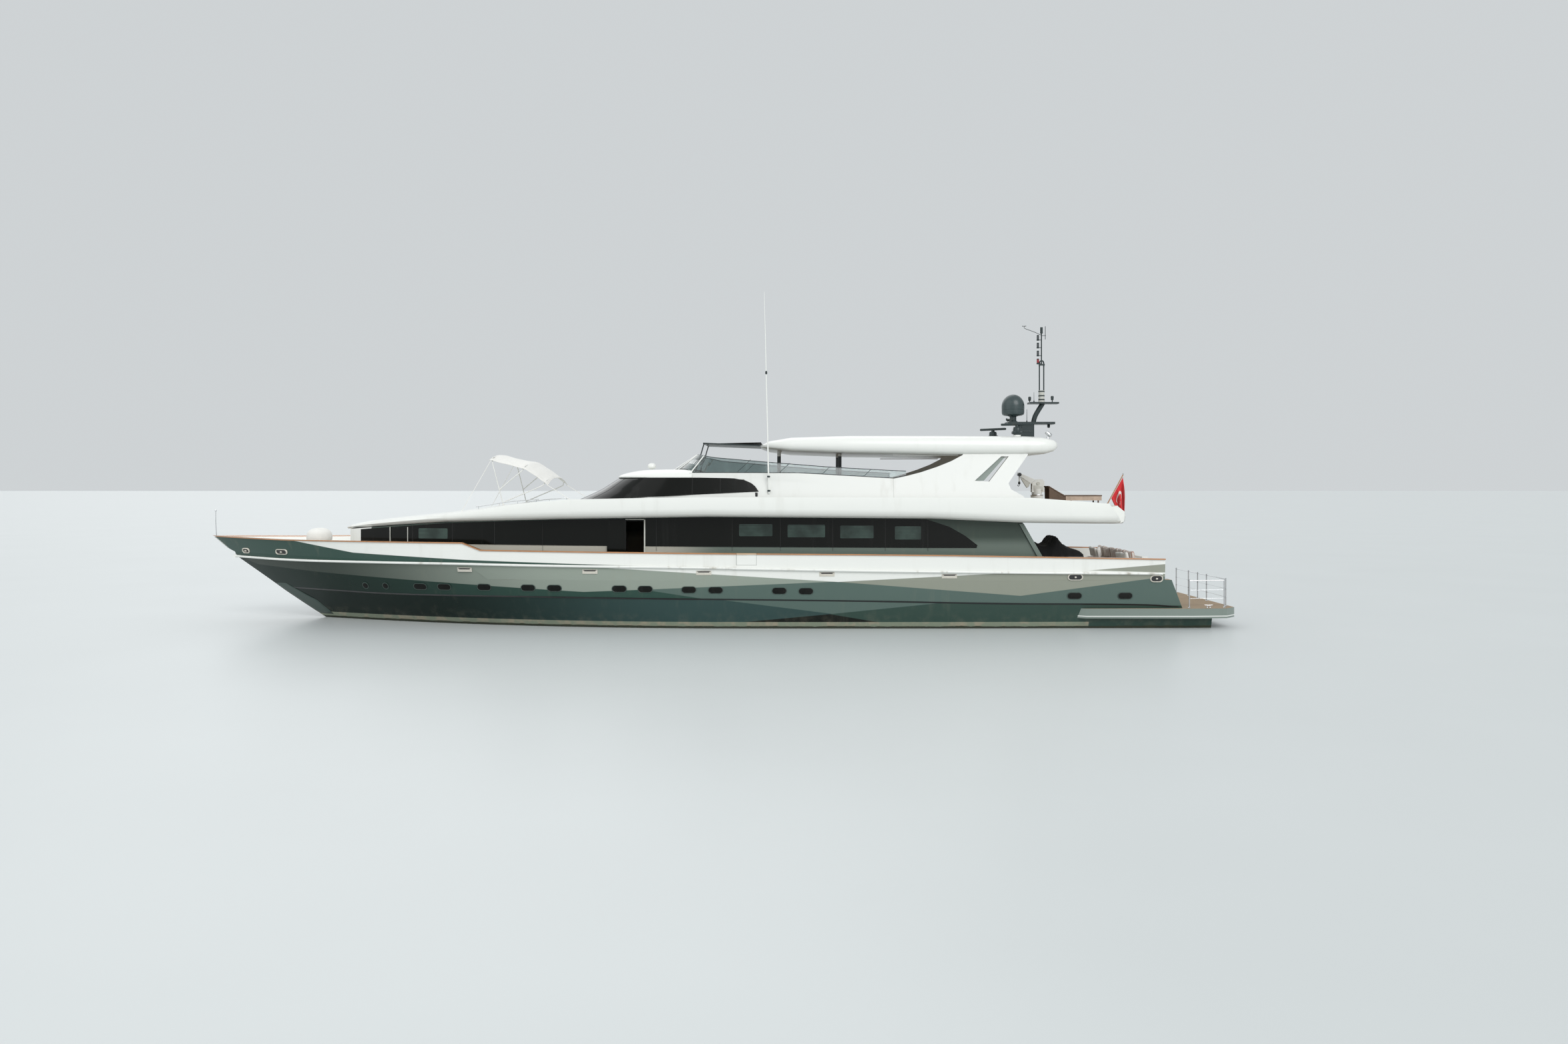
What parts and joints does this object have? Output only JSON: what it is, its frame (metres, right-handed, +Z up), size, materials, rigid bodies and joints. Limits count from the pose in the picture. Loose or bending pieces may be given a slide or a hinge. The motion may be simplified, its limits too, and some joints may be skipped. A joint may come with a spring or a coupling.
{
  "type": "motor yacht",
  "caption": "Motor yacht afloat, with decked hull, long deckhouse, flying bridge, hardtop, mast and bathing platform; doors, gates, crane, radars, rudders and propellers move.",
  "frame": {"origin": "amidships on the centreline, at the waterline", "axes": "+X to the bow, +Y to port, +Z up"},
  "size_m": [38.52, 7.983, 13.9302],
  "materials": {
    "hull_paint": "gloss",
    "white_paint": "gloss",
    "grey_paint": "metallic satin",
    "slate_paint": "satin",
    "teak": "varnished",
    "dark_glass": "gloss",
    "tinted_screen": "gloss",
    "white_plastic": "satin",
    "bronze": "cast and ground",
    "stainless_steel": "polished",
    "light_fabric": "woven",
    "white_fabric": "woven",
    "dark_fabric": "woven",
    "red_fabric": "woven",
    "wicker": "woven"
  },
  "bodies": {
    "boat": {"hull": "hull_paint", "bow_bulwark": "white_paint", "side_bulwark_port": "white_paint", "side_bulwark_starboard": "white_paint", "caprail_forward": "teak", "caprail_aft_port": "teak", "caprail_aft_starboard": "teak", "rub_rail": "white_paint", "house_wall_port": "grey_paint", "house_wall_starboard": "grey_paint", "house_front": "white_paint", "house_glass_port": "dark_glass", "house_glass_starboard": "dark_glass", "saloon_bulkhead": "white_paint", "upper_deck": "white_paint", "coachroof": "white_paint", "wheelhouse_wall": "white_paint", "wheelhouse_glass": "dark_glass", "wheelhouse_roof": "white_paint", "helm_console": "white_paint", "fly_windscreen": "tinted_screen", "hardtop": "white_paint", "arch_wing_port": "white_paint", "arch_wing_starboard": "white_paint", "mast": "slate_paint", "satellite_dome": "slate_paint", "whip_antenna": "white_plastic", "crane_base": "white_paint", "bathing_platform": "grey_paint", "after_sofa": "white_paint", "after_sofa_cushion": "light_fabric", "covered_table": "dark_fabric", "helm_seat": "light_fabric", "fly_sofa": "light_fabric", "lounger": "wicker", "ensign_staff": "teak", "ensign": "red_fabric", "windlass": "stainless_steel", "foredeck_cover": "white_fabric", "bimini_frame": "stainless_steel", "bimini_canopy": "white_fabric", "sunshade": "dark_fabric"},
    "propeller_port": {"propeller_port": "bronze"},
    "propeller_starboard": {"propeller_starboard": "bronze"},
    "rudder_port": {"rudder_port": "bronze"},
    "rudder_starboard": {"rudder_starboard": "bronze"},
    "radar_aft": {"radar_scanner_aft": "slate_paint"},
    "radar_fore": {"radar_scanner_fore": "slate_paint"},
    "crane_head": {"crane_head": "white_paint"},
    "crane_boom": {"crane_boom": "white_paint"},
    "side_door_port": {"side_door_port": "dark_glass"},
    "side_door_starboard": {"side_door_starboard": "dark_glass"},
    "fore_door_port": {"fore_door_port": "dark_glass"},
    "fore_door_starboard": {"fore_door_starboard": "dark_glass"},
    "saloon_door_port": {"saloon_door_port": "dark_glass"},
    "saloon_door_starboard": {"saloon_door_starboard": "dark_glass"},
    "gate_port": {"boarding_gate_port": "white_paint"},
    "gate_starboard": {"boarding_gate_starboard": "white_paint"},
    "hatch_lid": {"foredeck_hatch_lid": "white_paint"}
  },
  "joints": [
    {"name": "propeller_port_spin", "type": "hinge", "parent": "boat", "child": "propeller_port", "pos_m": [-13.9, 1.5, -1.39], "axis": [0.9945, 0, 0.1044], "continuous": true},
    {"name": "propeller_starboard_spin", "type": "hinge", "parent": "boat", "child": "propeller_starboard", "pos_m": [-13.9, -1.5, -1.39], "axis": [0.9945, 0, 0.1044], "continuous": true},
    {"name": "rudder_port_turn", "type": "hinge", "parent": "boat", "child": "rudder_port", "pos_m": [-15.25, 1.5, -1.3], "axis": [0, 0, 1], "range_deg": [-35, 35]},
    {"name": "rudder_starboard_turn", "type": "hinge", "parent": "boat", "child": "rudder_starboard", "pos_m": [-15.25, -1.5, -1.3], "axis": [0, 0, 1], "range_deg": [-35, 35]},
    {"name": "radar_aft_spin", "type": "hinge", "parent": "boat", "child": "radar_aft", "pos_m": [-11.85, 1.25, 7.4], "axis": [0, 0, 1], "continuous": true},
    {"name": "radar_fore_spin", "type": "hinge", "parent": "boat", "child": "radar_fore", "pos_m": [-11.4, -1.15, 7.34], "axis": [0, 0, 1], "continuous": true},
    {"name": "crane_slew", "type": "hinge", "parent": "boat", "child": "crane_head", "pos_m": [-13.4, -2.2, 5], "axis": [0, 0, 1], "range_deg": [-170, 170]},
    {"name": "crane_luff", "type": "hinge", "parent": "crane_head", "child": "crane_boom", "pos_m": [-13.42, -2.2, 5.21], "axis": [0, -1, 0], "range_deg": [-20, 45]},
    {"name": "side_door_port_slide", "type": "slide", "parent": "boat", "child": "side_door_port", "axis": [-1, 0, 0], "range_m": [0, 0.65]},
    {"name": "side_door_starboard_slide", "type": "slide", "parent": "boat", "child": "side_door_starboard", "axis": [1, 0, 0], "range_m": [0, 0.65]},
    {"name": "fore_door_port_swing", "type": "hinge", "parent": "boat", "child": "fore_door_port", "pos_m": [11.626, 1.82745, 3], "axis": [0, 0, -1], "range_deg": [0, 100]},
    {"name": "fore_door_starboard_swing", "type": "hinge", "parent": "boat", "child": "fore_door_starboard", "pos_m": [11.626, -1.82745, 3], "axis": [0, 0, 1], "range_deg": [0, 100]},
    {"name": "saloon_door_port_slide", "type": "slide", "parent": "boat", "child": "saloon_door_port", "axis": [0, 1, 0], "range_m": [0, 0.85]},
    {"name": "saloon_door_starboard_slide", "type": "slide", "parent": "boat", "child": "saloon_door_starboard", "axis": [0, -1, 0], "range_m": [0, 0.85]},
    {"name": "gate_port_swing", "type": "hinge", "parent": "boat", "child": "gate_port", "pos_m": [-1.362, 3.805, 2.5], "axis": [0, 0, 1], "range_deg": [0, 90]},
    {"name": "gate_starboard_swing", "type": "hinge", "parent": "boat", "child": "gate_starboard", "pos_m": [-1.362, -3.805, 2.5], "axis": [0, 0, -1], "range_deg": [0, 90]},
    {"name": "hatch_lid_lift", "type": "hinge", "parent": "boat", "child": "hatch_lid", "pos_m": [16.25, 0, 2.6093], "axis": [0, -1, 0], "range_deg": [0, 100]}
  ],
  "couplings": [
    {"joint": "rudder_starboard_turn", "follows": "rudder_port_turn", "ratio": 1}
  ]
}
